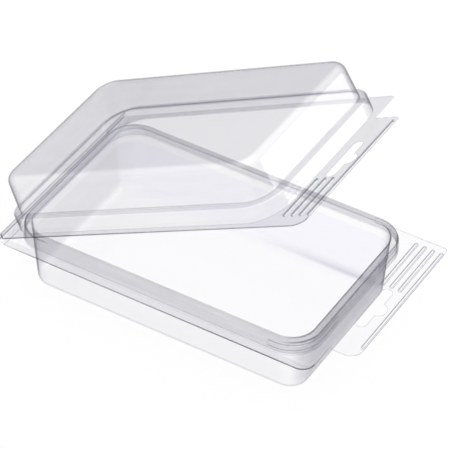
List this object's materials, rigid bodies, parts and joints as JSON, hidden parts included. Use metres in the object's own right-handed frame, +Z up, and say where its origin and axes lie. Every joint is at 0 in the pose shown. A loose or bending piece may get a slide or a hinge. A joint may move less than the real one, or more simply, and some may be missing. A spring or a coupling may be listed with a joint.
{
  "type": "plastic clamshell pack",
  "caption": "Clear thermoformed clamshell pack: deep tray with snap rim, domed lid on a living hinge, and hang tabs with a slot and grip ribs.",
  "frame": {"origin": "centre of the tray's flat underside", "axes": "+X from the living hinge to the hang tabs, +Z up out of the tray, Y across the pack"},
  "size_m": [0.2021, 0.1178, 0.1352],
  "materials": {
    "clear_sheet": "clear gloss sheet"
  },
  "bodies": {
    "tray": {"base_tray": "clear_sheet", "living_hinge": "clear_sheet"},
    "lid": {"lid": "clear_sheet"}
  },
  "joints": [
    {"name": "lid_hinge", "type": "hinge", "parent": "tray", "child": "lid", "pos_m": [-0.09421, 0, 0.0299], "axis": [0, -1, 0], "range_deg": [-27.1, 152], "stiffness_Nm_per_rad": 0.04, "springref_deg": 21.54, "deforming": ["living_hinge"]}
  ]
}
